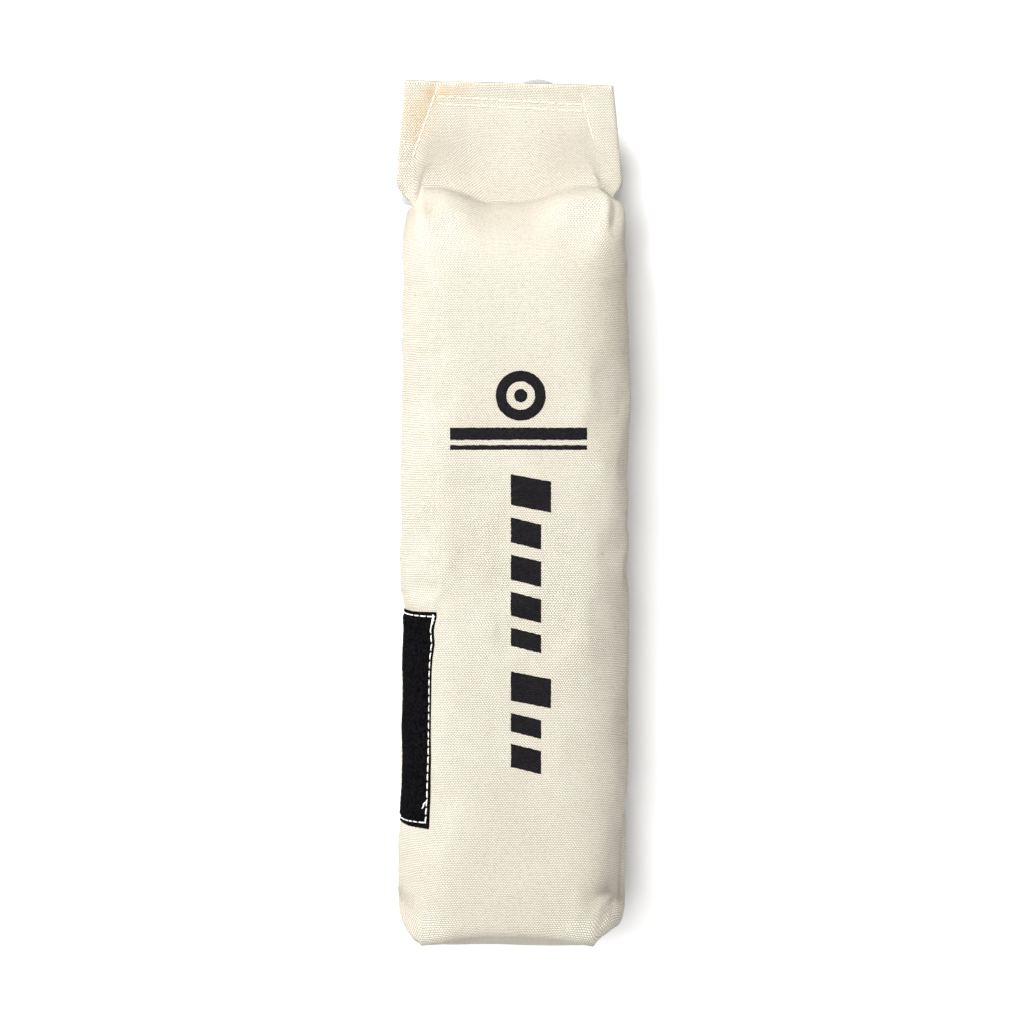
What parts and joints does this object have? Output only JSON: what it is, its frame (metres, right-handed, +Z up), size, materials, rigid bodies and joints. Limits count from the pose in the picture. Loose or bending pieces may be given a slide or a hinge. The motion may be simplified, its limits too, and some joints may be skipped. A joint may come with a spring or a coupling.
{
  "type": "training bumper",
  "caption": "Stuffed canvas training bumper with a foam core, a folding stitched head flap, a loop-tape strip along one edge and a thin throw cord.",
  "frame": {"origin": "centre of the bounding box's bottom: on the floor under the middle of the bumper, which lies on its back", "axes": "+X from the head flap to the base, +Y to the right of someone looking at the front, +Z up out of the front face"},
  "size_m": [0.3086, 0.0811, 0.062],
  "materials": {
    "canvas": "plain-woven natural cotton duck, matte",
    "foam": "closed-cell foam, matte",
    "loop_tape": "fuzzy black loop tape",
    "thread": "bonded off-white sewing thread",
    "cord": "braided grey-white cord",
    "tie": "matte black band"
  },
  "bodies": {
    "casing": {"foam_core": "foam", "front_panel": "canvas", "back_panel": "canvas", "loop_strip": "loop_tape", "strip_thread_top": "thread", "strip_thread_bottom": "thread", "strip_thread_front": "thread", "strip_thread_side": "thread", "left_seam_thread": "thread", "right_seam_thread": "thread", "base_seam_thread": "thread", "throw_cord": "cord", "cord_hank": "cord", "cord_knot": "cord", "cord_tie": "tie"},
    "flap": {"flap_front": "canvas", "flap_back": "canvas", "flap_hem": "canvas", "hem_thread_upper": "thread", "hem_thread_lower": "thread", "left_tuck_thread": "thread", "right_tuck_thread": "thread"}
  },
  "joints": [
    {"name": "flap_fold", "type": "hinge", "parent": "casing", "child": "flap", "pos_m": [-0.1111, 0, 0.031], "axis": [0, 1, 0], "range_deg": [-20, 90]}
  ]
}
